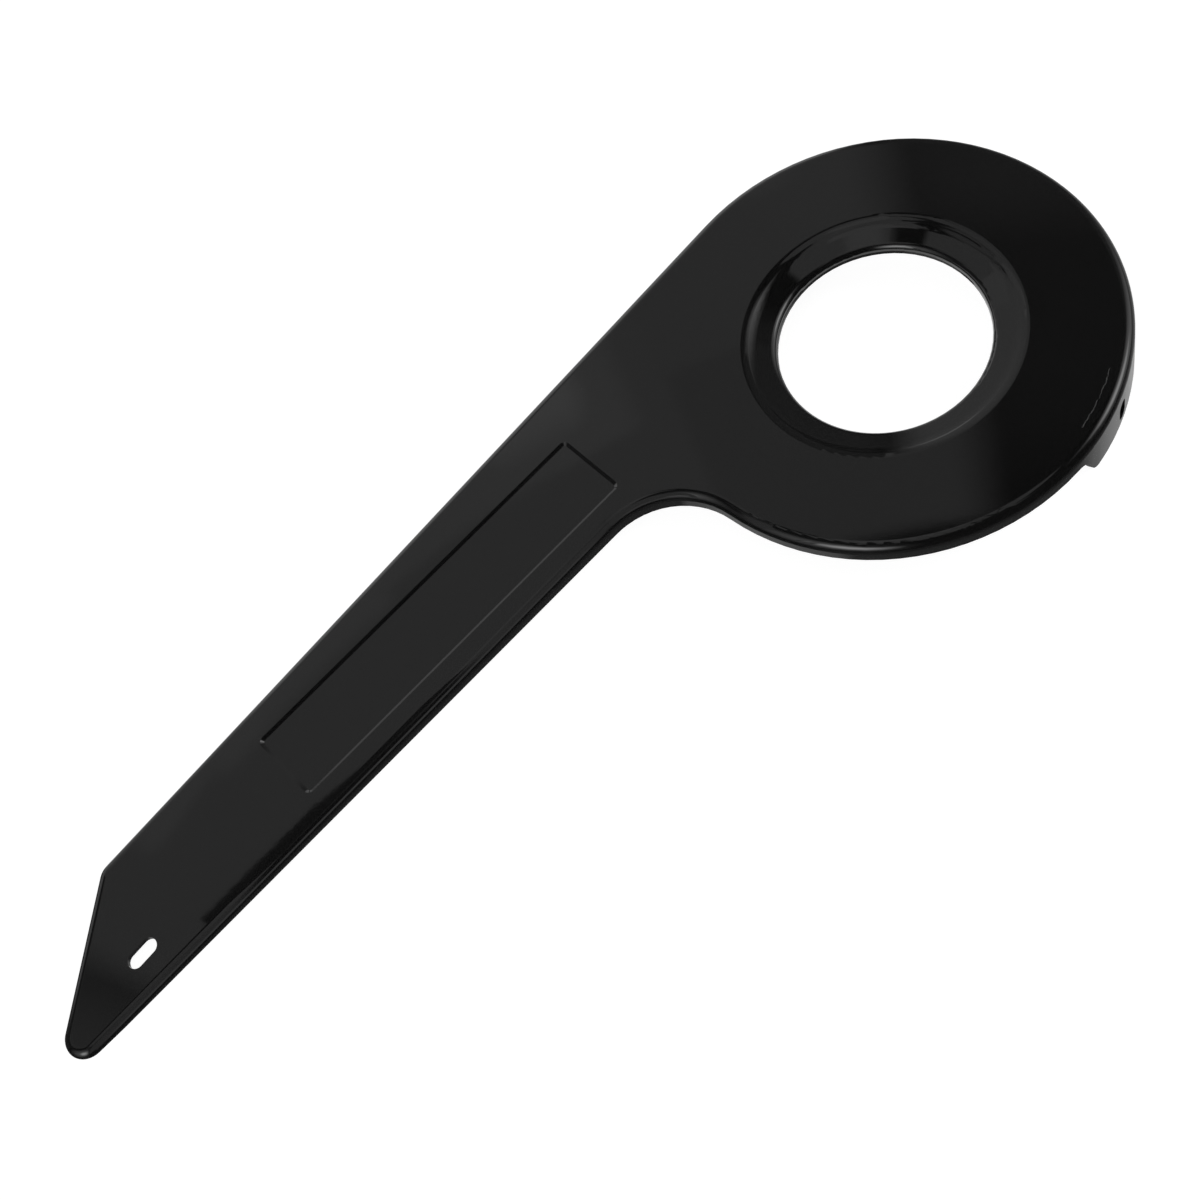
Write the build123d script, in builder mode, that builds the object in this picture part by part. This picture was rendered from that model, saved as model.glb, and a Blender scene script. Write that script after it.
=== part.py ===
from build123d import *
from math import atan2, cos, degrees, radians, sin, sqrt, tan
import os

# A one-piece moulded chain guard: a round disc over the chainring and a long arm along the chain's top run.
# The crank axis is +Z, pointing outwards. The arm runs towards -X, and its straight upper edge faces +Y.
# The origin lies on the crank axis, level with the edge of the skirt round the disc.

# Sizes in millimetres and degrees

# Shell
wall = 2.0
disc_radius = 87.0
skirt_depth = 7.5  # face to skirt edge, round the disc
tail_skirt_depth = 3.0  # the same at the tip of the tail
skirt_taper_start = 90.0  # crank axis to where the skirt starts to grow shallower
rim_inner_round = 1.7

# Arm
arm_reach = 389.0  # crank axis to the tip's sharp corner
tip_height = 39.24  # the same corner above the crank axis
lower_edge_slope = 2.37
tail_cut_angle = 36.8  # between the upper edge and the slanted end
throat_radius = 30.0  # hollow corner between arm and disc
tip_round = 8.0
upper_corner_round = 8.0

# Dished ring round the crank: a steep side, a gently sloping floor and a lip that turns down
crank_hole_radius = 38.6
dish_radius = 50.1
dish_inner_round = 4.6
dish_steep_slope = 26.0
dish_steep_run = 0.5  # straight stretch of the steep side
dish_knee_round = 12.0
dish_floor_slope = 14.5
lip_inner_round = 0.7
lip_edge_round = 0.3

# Label panel, bare
panel_length = 155.0
panel_width = 30.1
panel_depth = 0.85
panel_round = 2.5
panel_reach = 179.8  # crank axis to the panel's middle
panel_margin = 10.05  # lower edge of the arm to the panel
panel_turn = 0.55  # between the panel and the arm's lower edge
panel_side_slope = 35.0

# Tail slot, for the clip on the chain stay
tail_slot_length = 12.3
tail_slot_width = 6.0
tail_slot_from_tip = 55.2
tail_slot_above_tip = 11.4

# Lugs, for the screws of the bottom bracket plate
lug_angles = (-71.5, 91.0)
lug_drop = 13.0  # below the skirt edge
lug_width = 42.0
lug_root_width = 53.0
lug_corner_round = 5.0
lug_root_round = 5.0
lug_slot_length = 9.5
lug_slot_width = 5.4
lug_slot_drop = 5.5

# Derived values
face_height = skirt_depth
ceiling_height = face_height - wall
rim_round = rim_inner_round + wall
dish_edge_round = dish_inner_round + wall
lip_round = lip_inner_round + wall
collar_radius = dish_radius + dish_edge_round
lug_root_height = face_height - rim_round
clearance = 1.0  # how far a cut runs past the face that it opens

tip = Vector(-arm_reach, tip_height)
upper_corner = Vector((disc_radius - tip_height) / tan(radians(tail_cut_angle)) - arm_reach, disc_radius)
lower_direction = Vector(cos(radians(lower_edge_slope)), -sin(radians(lower_edge_slope)))
lower_outward = Vector(-sin(radians(lower_edge_slope)), -cos(radians(lower_edge_slope)))


def throat_centre():
    """Centre of the arc that touches the arm's lower edge and the disc, both from outside."""
    start = tip + lower_outward * throat_radius
    along = start.dot(lower_direction)
    reach = sqrt(along**2 - start.dot(start) + (disc_radius + throat_radius) ** 2)
    return start - lower_direction * (along + reach)


def corner(sketch, point):
    """The vertex of a sketch that lies nearest to a point."""
    return sketch.vertices().sort_by_distance(point)[0]


# Plan outline of the whole guard, and of the hollow inside its wall
throat = throat_centre()
throat_start = throat - lower_outward * throat_radius
throat_end = throat * (disc_radius / (disc_radius + throat_radius))
throat_angle = degrees(atan2(throat.Y, throat.X))

with BuildSketch() as outline:
    with BuildLine():
        Line((0, disc_radius), upper_corner)
        Line(upper_corner, tip)
        Line(tip, throat_start)
        TangentArc(throat_start, throat_end, tangent=lower_direction)
        CenterArc((0, 0), disc_radius, throat_angle, 450 - throat_angle)
    make_face()
    fillet(corner(outline, upper_corner), upper_corner_round)
    fillet(corner(outline, tip), tip_round)

with BuildSketch() as inner_outline:
    add(outline.sketch)
    offset(amount=-wall, mode=Mode.REPLACE)

# Hollow under the face
with BuildPart() as hollow:
    add(inner_outline.sketch)
    extrude(amount=ceiling_height)
    fillet(hollow.faces().sort_by(Axis.Z)[-1].edges(), rim_inner_round)


def lug(angle):
    """A stretch of the skirt's wall that runs on below its edge, with a slot for a screw."""
    outward = Vector(1, 0, 0).rotate(Axis.Z, angle)
    sideways = Vector(0, 1, 0).rotate(Axis.Z, angle)
    with BuildPart() as lug_wall:
        with BuildSketch(Plane.XY.offset(-lug_drop)):
            add(outline.sketch)
            add(inner_outline.sketch, mode=Mode.SUBTRACT)
        extrude(amount=lug_drop + lug_root_height)
        with BuildSketch(Plane(origin=(0, 0, 0), x_dir=sideways, z_dir=outward)) as profile:
            root_corners = [(-lug_root_width / 2, 0), (lug_root_width / 2, 0)]
            foot_corners = [(-lug_width / 2, -lug_drop), (lug_width / 2, -lug_drop)]
            with BuildLine():
                Polyline(root_corners[0], foot_corners[0], foot_corners[1], root_corners[1], close=True)
            make_face()
            with Locations((0, lug_root_height / 2)):
                Rectangle(lug_root_width + 4 * lug_root_round, lug_root_height)
            fillet([corner(profile, point) for point in root_corners], lug_root_round)
            fillet([corner(profile, point) for point in foot_corners], lug_corner_round)
            with Locations((0, -lug_slot_drop)):
                SlotOverall(lug_slot_length, lug_slot_width, rotation=90, mode=Mode.SUBTRACT)
        extrude(amount=disc_radius + clearance, mode=Mode.INTERSECT)
    return lug_wall.part


lugs = [lug(angle) for angle in lug_angles]

# Corners of the dished ring's upper side, before they are rounded: radius and height
steep_slope = radians(dish_steep_slope)
floor_slope = radians(dish_floor_slope)
edge_setback = dish_edge_round * tan(steep_slope / 2)
knee_setback = dish_knee_round * tan((steep_slope - floor_slope) / 2)
steep_length = edge_setback + dish_steep_run + knee_setback
dish_edge = Vector(dish_radius, face_height)
dish_knee = dish_edge - Vector(cos(steep_slope), sin(steep_slope)) * steep_length
lip_corner = Vector(crank_hole_radius, dish_knee.Y - (dish_knee.X - crank_hole_radius) * tan(floor_slope))
lip_foot = Vector(crank_hole_radius, 0)

# Middle of the label panel, measured from the arm's lower edge
panel_foot = tip + lower_direction * (arm_reach - panel_reach)
panel_middle = panel_foot - lower_outward * (panel_margin + panel_width / 2)
panel_direction = lower_direction.rotate(Axis.Z, -panel_turn)
panel_plane = Plane(origin=(panel_middle.X, panel_middle.Y, face_height), x_dir=panel_direction)

with BuildPart() as chain_guard:
    # Shell: the outline with a rolled rim, hollowed from below
    add(outline.sketch)
    extrude(amount=face_height)
    fillet(chain_guard.faces().sort_by(Axis.Z)[-1].edges(), rim_round)
    add(hollow.part, mode=Mode.SUBTRACT)

    # The skirt grows shallower along the arm
    with BuildSketch(Plane.XZ):
        with BuildLine():
            Polyline(
                (-skirt_taper_start, 0),
                (-arm_reach, skirt_depth - tail_skirt_depth),
                (-arm_reach, -clearance),
                (-skirt_taper_start, -clearance),
                close=True,
            )
        make_face()
    extrude(amount=disc_radius + clearance, both=True, mode=Mode.SUBTRACT)

    # Dished ring round the crank hole
    with BuildSketch():
        Circle(collar_radius)
    extrude(amount=face_height + clearance, mode=Mode.SUBTRACT)
    with BuildSketch(Plane.XZ) as dish_section:
        with BuildLine() as upper_side:
            Polyline((collar_radius, face_height), dish_edge, dish_knee, lip_corner, lip_foot)
            fillet(corner(upper_side, dish_edge), dish_edge_round)
            fillet(corner(upper_side, dish_knee), dish_knee_round)
            fillet(corner(upper_side, lip_corner), lip_round)
            offset(amount=wall, side=Side.LEFT)
        make_face()
        lip_edges = [corner(dish_section, lip_foot), corner(dish_section, lip_foot + Vector(wall, 0))]
        fillet(lip_edges, lip_edge_round)
    revolve(axis=Axis.Z)

    # Label panel
    with BuildSketch(panel_plane):
        RectangleRounded(panel_length, panel_width, panel_round)
    extrude(amount=-panel_depth, taper=90 - panel_side_slope, mode=Mode.SUBTRACT)

    # Tail slot
    with BuildSketch():
        with Locations((tail_slot_from_tip - arm_reach, tip_height + tail_slot_above_tip)):
            SlotOverall(tail_slot_length, tail_slot_width)
    extrude(amount=face_height + clearance, mode=Mode.SUBTRACT)

    # Lugs
    add(lugs)

chain_guard.part.label = "chain_guard"
os.makedirs("parts", exist_ok=True)
export_step(chain_guard.part, "parts/chain_guard.step")
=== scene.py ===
from collections import namedtuple
from math import cos, radians, sin

import bmesh
import bpy
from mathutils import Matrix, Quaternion, Vector


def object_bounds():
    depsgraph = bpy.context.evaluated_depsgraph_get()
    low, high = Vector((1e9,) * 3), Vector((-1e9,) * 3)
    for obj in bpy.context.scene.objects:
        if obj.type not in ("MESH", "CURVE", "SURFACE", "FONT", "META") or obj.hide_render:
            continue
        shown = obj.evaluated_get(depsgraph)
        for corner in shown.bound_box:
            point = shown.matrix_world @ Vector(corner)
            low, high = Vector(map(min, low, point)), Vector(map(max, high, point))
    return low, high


# The chain guard lies on a white table in a dim studio, between two soft boxes.
# Lengths are in metres and angles in degrees, in the guard's own frame:
# the crank axis is +Z, and the arm runs towards -X.

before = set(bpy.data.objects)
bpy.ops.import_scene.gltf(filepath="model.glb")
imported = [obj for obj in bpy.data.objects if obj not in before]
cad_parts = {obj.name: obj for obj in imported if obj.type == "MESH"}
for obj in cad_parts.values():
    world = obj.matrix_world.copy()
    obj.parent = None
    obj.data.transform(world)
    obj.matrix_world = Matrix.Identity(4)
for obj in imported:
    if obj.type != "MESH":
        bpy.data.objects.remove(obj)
cad_low, cad_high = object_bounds()
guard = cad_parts["chain_guard"]
up = Vector((0, 0, 1))

# Camera, as it stood for the photograph
camera_aim = Vector((-0.13987, 0.01155, cad_high.z))
camera_distance = 0.63097
camera_azimuth = -19.252
camera_elevation = 61.4245
camera_roll = -30.7415
camera_lens = 54.302
camera_sensor = 36.0
camera_near_limit = 0.01

# Room and table
room_reach = 25.0
room_level = 0.03  # light between the panels
floor_radius = 6.0
floor_colour = 0.2
floor_glow = 0.95
disc_sides = 64
foot_tolerance = 0.0002  # how far above the lowest point a foot may end
tail_length = 0.02  # stretch behind the tip in which the tail meets the table

# Panels of light on the walls of the room: from and to in azimuth, which starts at +X and grows towards +Y,
# from and to in elevation, the blur of the edges both ways, and the brightness
Panel = namedtuple("Panel", "azimuth elevation azimuth_blur elevation_blur brightness")
light_panels = {
    "far_wall": Panel((60, 109.5), (-14, 74), 4, 2, 0.445),
    "far_wall_right": Panel((43.9, 66), (54.5, 63.1), 5, 0.7, 0.375),
    "far_middle_right": Panel((46.5, 68), (40, 56.5), 6, 1.5, 0.43),
    "far_low": Panel((48.5, 106), (-13, 52.5), 10, 3, 0.53),
    "far_band": Panel((62, 104), (50, 57.6), 6, 1.2, 0.56),
    "far_band_left": Panel((80, 98), (50, 58.1), 6, 1.6, 0.58),
    "far_glow": Panel((65, 74), (50, 57), 5, 4, 0.8),
    "far_table": Panel((46, 102), (-65, -15), 6, 6, 0.85),
    "left_far": Panel((110, 140), (45, 68), 14, 6, 0.38),
    "left_low": Panel((110, 150), (-17, 50), 16, 6, 0.1),
    "left_table": Panel((120, 190), (-80, -52), 20, 8, 0.4),
    "left_box": Panel((-172, -146), (19, 38), 23, 43, 6.8),
    "left_spill": Panel((169, 210), (3, 54), 49, 50, 1.2),
    "right_box": Panel((-47, -19), (24, 49), 21, 22, 4.7),
    "right_spill": Panel((-42, -3), (6, 57), 49, 13, 1.5),
    "right_far": Panel((-40, 50), (22, 54.6), 20, 5, 0.17),
    "right_haze": Panel((-40, 45), (-10, 62), 6, 8, 0.075),
    "right_table": Panel((-36, 37), (-80, 5), 49, 50, 0.52),
    "ceiling": Panel((-202, 82), (70.3, 110), 4, 2, 0.46),
    "ceiling_far": Panel((128, 200), (74.5, 110), 16, 1.5, 0.48),
    "ceiling_mid": Panel((106, 140), (78, 110), 10, 1.5, 0.55),
    "ceiling_top": Panel((-180, 180), (80.5, 100), 0.1, 4, 0.63),
    "near_left": Panel((-130, -88), (65.5, 80), 8, 3, 0.5),
    "near_right": Panel((-90, -74), (57, 75), 6, 6, 0.44),
    "near_floor": Panel((-175, -5), (-85, -15), 30, 20, 0.12),
}

# Close to the guard, and only for its reflections: standing boards with soft edges,
# a dark canopy over the arm, and a light on the table under the crank hole
Board = namedtuple("Board", "y x_range z_range brightness")
boards = {
    "board_front": Board(-0.04, (-0.385, -0.11), (0.015, 0.045), 0.65),
    "board_front_left": Board(-0.042, (-0.45, -0.31), (0.04, 0.2), 0.39),
    "board_throat": Board(0.0, (-0.185, -0.096), (0.02, 0.088), 0.44),
    "board_back": Board(0.16, (-0.25, 0.13), (0.0, 0.058), 1.05),
    "board_back_left": Board(0.162, (-0.42, -0.22), (0.0, 0.058), 0.65),
    "board_back_top": Board(0.164, (-0.1, -0.05), (0.055, 0.115), 0.42),
}
board_end_blur = 0.03
board_edge_blur = 0.01
canopy_height = 0.6
canopy_level = 0.06
canopy_outline = (
    (-0.39, 0.381),
    (-0.28, 0.375),
    (-0.19, 0.36),
    (-0.165, 0.13),
    (-0.155, -0.2),
    (-0.34, -0.2),
)
hole_light_centre = (0.005, -0.004)
hole_light_radius = 0.027
hole_light_level = 1.6

# Black plastic
plastic_ior = 1.5
plastic_shade = (0.0045, 0.006)
shade_spacing = 0.02
gloss_roughness = (0.02, 0.04)
smear_spacing = 0.03
wave_height = 0.00004
wave_spacing = 0.07
peel_height = 0.000002
peel_spacing = 0.003

# Wear: a broken scratch beside the rim, and a few specks of dust
scratch_radius = 0.0806
scratch_sector = (-84, -66.5)
scratch_width = 0.0003
scratch_edge_blur = 0.0002
scratch_end_blur = 1.0
scratch_wander = 0.0012
scratch_wander_spacing = 0.0025
scratch_break_spacing = 0.003
scratch_break = (0.25, 0.45)
scratch_shade = 0.08
speck_spacing = 0.015
speck_radius = 0.0002
speck_shade = 0.04


def connect(tree, value, socket):
    """Feeds a socket from another socket, or sets it to a number."""
    if isinstance(value, bpy.types.NodeSocket):
        tree.links.new(value, socket)
    else:
        socket.default_value = value


def math(tree, operation, *values):
    """The result of a Math node on linked or fixed values."""
    node = tree.nodes.new("ShaderNodeMath")
    node.operation = operation
    for socket, value in zip(node.inputs, values):
        connect(tree, value, socket)
    return node.outputs["Value"]


def product(tree, first, *others):
    """All the values multiplied together."""
    for other in others:
        first = math(tree, "MULTIPLY", first, other)
    return first


def smooth_step(tree, value, low, high, start=0, end=1):
    """A value that goes smoothly from start at low to end at high."""
    step = tree.nodes.new("ShaderNodeMapRange")
    step.interpolation_type = "SMOOTHSTEP"
    connect(tree, value, step.inputs["Value"])
    connect(tree, low, step.inputs["From Min"])
    connect(tree, high, step.inputs["From Max"])
    connect(tree, start, step.inputs["To Min"])
    connect(tree, end, step.inputs["To Max"])
    return step.outputs["Result"]


def window(tree, value, low, high, blur):
    """1 where a value lies between low and high, and 0 outside, with soft edges of that width."""
    from_middle = math(tree, "ABSOLUTE", math(tree, "SUBTRACT", value, (low + high) / 2))
    reach = (high - low) / 2
    return smooth_step(tree, from_middle, reach - blur / 2, reach + blur / 2, start=1, end=0)


def surface_point(tree):
    """The shaded point, in the guard's frame."""
    return tree.nodes.new("ShaderNodeNewGeometry").outputs["Position"]


def coordinates(tree, point):
    """X, Y and Z of a point."""
    parts = tree.nodes.new("ShaderNodeSeparateXYZ")
    connect(tree, point, parts.inputs["Vector"])
    return parts.outputs


def polar(tree, point):
    """Azimuth of a point in degrees, its distance from the Z axis, and its height."""
    x, y, z = coordinates(tree, point)
    azimuth = math(tree, "DEGREES", math(tree, "ARCTAN2", y, x))
    square = math(tree, "ADD", product(tree, x, x), product(tree, y, y))
    return azimuth, math(tree, "SQRT", square), z


def noise(tree, point, spacing, low=0, high=1):
    """Soft random mottling from low to high, with spots about one spacing apart."""
    node = tree.nodes.new("ShaderNodeTexNoise")
    connect(tree, point, node.inputs["Vector"])
    connect(tree, 1 / spacing, node.inputs["Scale"])
    return math(tree, "MULTIPLY_ADD", node.outputs["Fac"], high - low, low)


def emission(tree, strength):
    """White light of that strength."""
    node = tree.nodes.new("ShaderNodeEmission")
    connect(tree, strength, node.inputs["Strength"])
    return node.outputs["Emission"]


def new_material(name):
    """A material with an empty node tree, the tree, and the socket that takes its shader."""
    material = bpy.data.materials.new(name)
    material.use_nodes = True
    tree = material.node_tree
    tree.nodes.clear()
    return material, tree, tree.nodes.new("ShaderNodeOutputMaterial").inputs["Surface"]


def new_light(name):
    """The same for a surface that glows and isn't sampled as a lamp."""
    material, tree, surface = new_material(name)
    material.cycles.emission_sampling = "NONE"
    return material, tree, surface


def room_material():
    """Soft panels of light on the walls of a dark room. Where panels overlap, the brightest one shows."""
    material, tree, surface = new_light("studio_light")
    azimuth, reach, height = polar(tree, surface_point(tree))
    elevation = math(tree, "DEGREES", math(tree, "ARCTAN2", height, reach))
    brightest = room_level
    for panel in light_panels.values():
        left, right = panel.azimuth
        middle = (left + right) / 2
        around = math(tree, "WRAP", math(tree, "SUBTRACT", azimuth, middle), 180, -180)
        across = window(tree, around, left - middle, right - middle, panel.azimuth_blur)
        upward = window(tree, elevation, *panel.elevation, panel.elevation_blur)
        light = product(tree, across, upward, panel.brightness)
        brightest = math(tree, "MAXIMUM", light, brightest)
    connect(tree, emission(tree, brightest), surface)
    return material


def even_light(name, level):
    """The same light all over a surface."""
    material, tree, surface = new_light(name)
    connect(tree, emission(tree, level), surface)
    return material


def board_material(name, board):
    """A lit board that fades out at its edges."""
    material, tree, surface = new_light(name)
    x, _, z = coordinates(tree, surface_point(tree))
    along = window(tree, x, *board.x_range, board_end_blur)
    upward = window(tree, z, *board.z_range, board_edge_blur)
    clear = tree.nodes.new("ShaderNodeBsdfTransparent")
    both = tree.nodes.new("ShaderNodeMixShader")
    connect(tree, product(tree, along, upward), both.inputs["Fac"])
    connect(tree, clear.outputs["BSDF"], both.inputs[1])
    connect(tree, emission(tree, board.brightness), both.inputs[2])
    connect(tree, both.outputs["Shader"], surface)
    return material


def floor_material():
    """A white table: it glows just short of white and the room's light adds the rest, so shadows are faint."""
    material, tree, surface = new_material("white_table")
    matt = tree.nodes.new("ShaderNodeBsdfDiffuse")
    matt.inputs["Color"].default_value = (floor_colour, floor_colour, floor_colour, 1)
    both = tree.nodes.new("ShaderNodeAddShader")
    connect(tree, matt.outputs["BSDF"], both.inputs[0])
    connect(tree, emission(tree, floor_glow), both.inputs[1])
    connect(tree, both.outputs["Shader"], surface)
    return material


def scratch(tree, point):
    """1 along a thin wandering line beside the disc's rim, which breaks off in places."""
    azimuth, reach, _ = polar(tree, point)
    wander = noise(tree, point, scratch_wander_spacing, -scratch_wander / 2, scratch_wander / 2)
    inner = scratch_radius - scratch_width / 2
    line = window(tree, math(tree, "ADD", reach, wander), inner, inner + scratch_width, scratch_edge_blur)
    sector = window(tree, azimuth, *scratch_sector, scratch_end_blur)
    unbroken = smooth_step(tree, noise(tree, point, scratch_break_spacing), *scratch_break)
    return product(tree, line, sector, unbroken)


def specks(tree, point):
    """1 in small spots, scattered far apart."""
    node = tree.nodes.new("ShaderNodeTexVoronoi")
    connect(tree, point, node.inputs["Vector"])
    connect(tree, 1 / speck_spacing, node.inputs["Scale"])
    return smooth_step(tree, node.outputs["Distance"], 0, speck_radius / speck_spacing, start=1, end=0)


def plastic_material():
    """Glossy black moulded plastic, not quite flat, with smears, a scratch and dust."""
    material, tree, surface = new_material("black_plastic_gloss")
    point = tree.nodes.new("ShaderNodeTexCoord").outputs["Object"]
    shader = tree.nodes.new("ShaderNodeBsdfPrincipled")
    shader.inputs["IOR"].default_value = plastic_ior

    shade = noise(tree, point, shade_spacing, *plastic_shade)
    shade = math(tree, "MULTIPLY_ADD", scratch(tree, point), scratch_shade, shade)
    shade = math(tree, "MULTIPLY_ADD", specks(tree, point), speck_shade, shade)
    connect(tree, shade, shader.inputs["Base Color"])
    connect(tree, noise(tree, point, smear_spacing, *gloss_roughness), shader.inputs["Roughness"])

    waves = noise(tree, point, wave_spacing, 0, wave_height)
    peel = noise(tree, point, peel_spacing, 0, peel_height)
    bump = tree.nodes.new("ShaderNodeBump")
    bump.inputs["Distance"].default_value = 1
    connect(tree, math(tree, "ADD", waves, peel), bump.inputs["Height"])
    connect(tree, bump.outputs["Normal"], shader.inputs["Normal"])
    connect(tree, shader.outputs["BSDF"], surface)
    return material


def disc_shape(shape, radius):
    """A flat disc round the origin."""
    bmesh.ops.create_circle(shape, cap_ends=True, segments=disc_sides, radius=radius)


def board_shape(shape, board):
    """A standing rectangle, with room for the board's soft edges."""
    left, right = board.x_range[0] - board_end_blur / 2, board.x_range[1] + board_end_blur / 2
    bottom, top = board.z_range[0] - board_edge_blur / 2, board.z_range[1] + board_edge_blur / 2
    corners = (left, bottom), (right, bottom), (right, top), (left, top)
    shape.faces.new([shape.verts.new((x, board.y, z)) for x, z in corners])


def canopy_shape(shape):
    """A level sheet over the arm."""
    shape.faces.new([shape.verts.new((x, y, canopy_height)) for x, y in canopy_outline])


def mesh_object(name, build, material):
    """A stage object with a mesh that build() fills."""
    mesh = bpy.data.meshes.new(name)
    shape = bmesh.new()
    build(shape)
    shape.to_mesh(mesh)
    shape.free()
    mesh.materials.append(material)
    made = bpy.data.objects.new(name, mesh)
    bpy.context.scene.collection.objects.link(made)
    return made


def show_in_reflections_only(made):
    """Hides an object from the camera and from matt surfaces."""
    made.visible_camera = False
    made.visible_diffuse = False
    made.visible_shadow = False


def resting_points():
    """The three points of the guard that a flat table touches: the heel of each lug, and the tail."""
    points = [vertex.co for vertex in guard.data.vertices]
    feet = [point for point in points if point.z < cad_low.z + foot_tolerance]
    lower = min((point for point in feet if point.y < 0), key=lambda point: point.x)
    upper = min((point for point in feet if point.y > 0), key=lambda point: point.x)
    tail = min((point for point in points if point.x < cad_low.x + tail_length), key=lambda point: point.z)
    return lower, upper, tail


# Room, which the camera doesn't see, with the light
room = mesh_object(
    "studio_room",
    lambda shape: bmesh.ops.create_cube(shape, size=2 * room_reach),
    room_material(),
)
room.visible_camera = False

# Boards, canopy and the light under the crank hole
for name, board in boards.items():
    standing = mesh_object(name, lambda shape: board_shape(shape, board), board_material(name, board))
    show_in_reflections_only(standing)
canopy = mesh_object("dark_canopy", canopy_shape, even_light("dark_canopy", canopy_level))
show_in_reflections_only(canopy)
hole_light = mesh_object(
    "hole_light",
    lambda shape: disc_shape(shape, hole_light_radius),
    even_light("hole_light", hole_light_level),
)
hole_light.location = (*hole_light_centre, cad_low.z)
show_in_reflections_only(hole_light)

# Floor, against the guard's feet and tail
lower_heel, upper_heel, tail_end = resting_points()
floor_normal = (lower_heel - upper_heel).cross(tail_end - upper_heel)
if floor_normal.z < 0:
    floor_normal.negate()
floor = mesh_object("floor", lambda shape: disc_shape(shape, floor_radius), floor_material())
floor.rotation_mode = "QUATERNION"
floor.rotation_quaternion = up.rotation_difference(floor_normal)
floor.location = upper_heel
floor.visible_glossy = False

# White background
world = bpy.data.worlds.new("white_background")
world.use_nodes = True
world.node_tree.nodes["Background"].inputs["Color"].default_value = (1, 1, 1, 1)
bpy.context.scene.world = world
bpy.context.scene.view_settings.view_transform = "Standard"

# Camera
azimuth, elevation = radians(camera_azimuth), radians(camera_elevation)
back = Vector((sin(azimuth) * cos(elevation), -cos(azimuth) * cos(elevation), sin(elevation)))
camera = bpy.data.objects.new("camera", bpy.data.cameras.new("camera"))
bpy.context.scene.collection.objects.link(camera)
camera.location = camera_aim + back * camera_distance
camera.rotation_mode = "QUATERNION"
camera.rotation_quaternion = (-back).to_track_quat("-Z", "Y") @ Quaternion(up, radians(camera_roll))
camera.data.lens = camera_lens
camera.data.sensor_width = camera_sensor
camera.data.clip_start = camera_near_limit
bpy.context.scene.camera = camera

guard.material_slots[0].material = plastic_material()
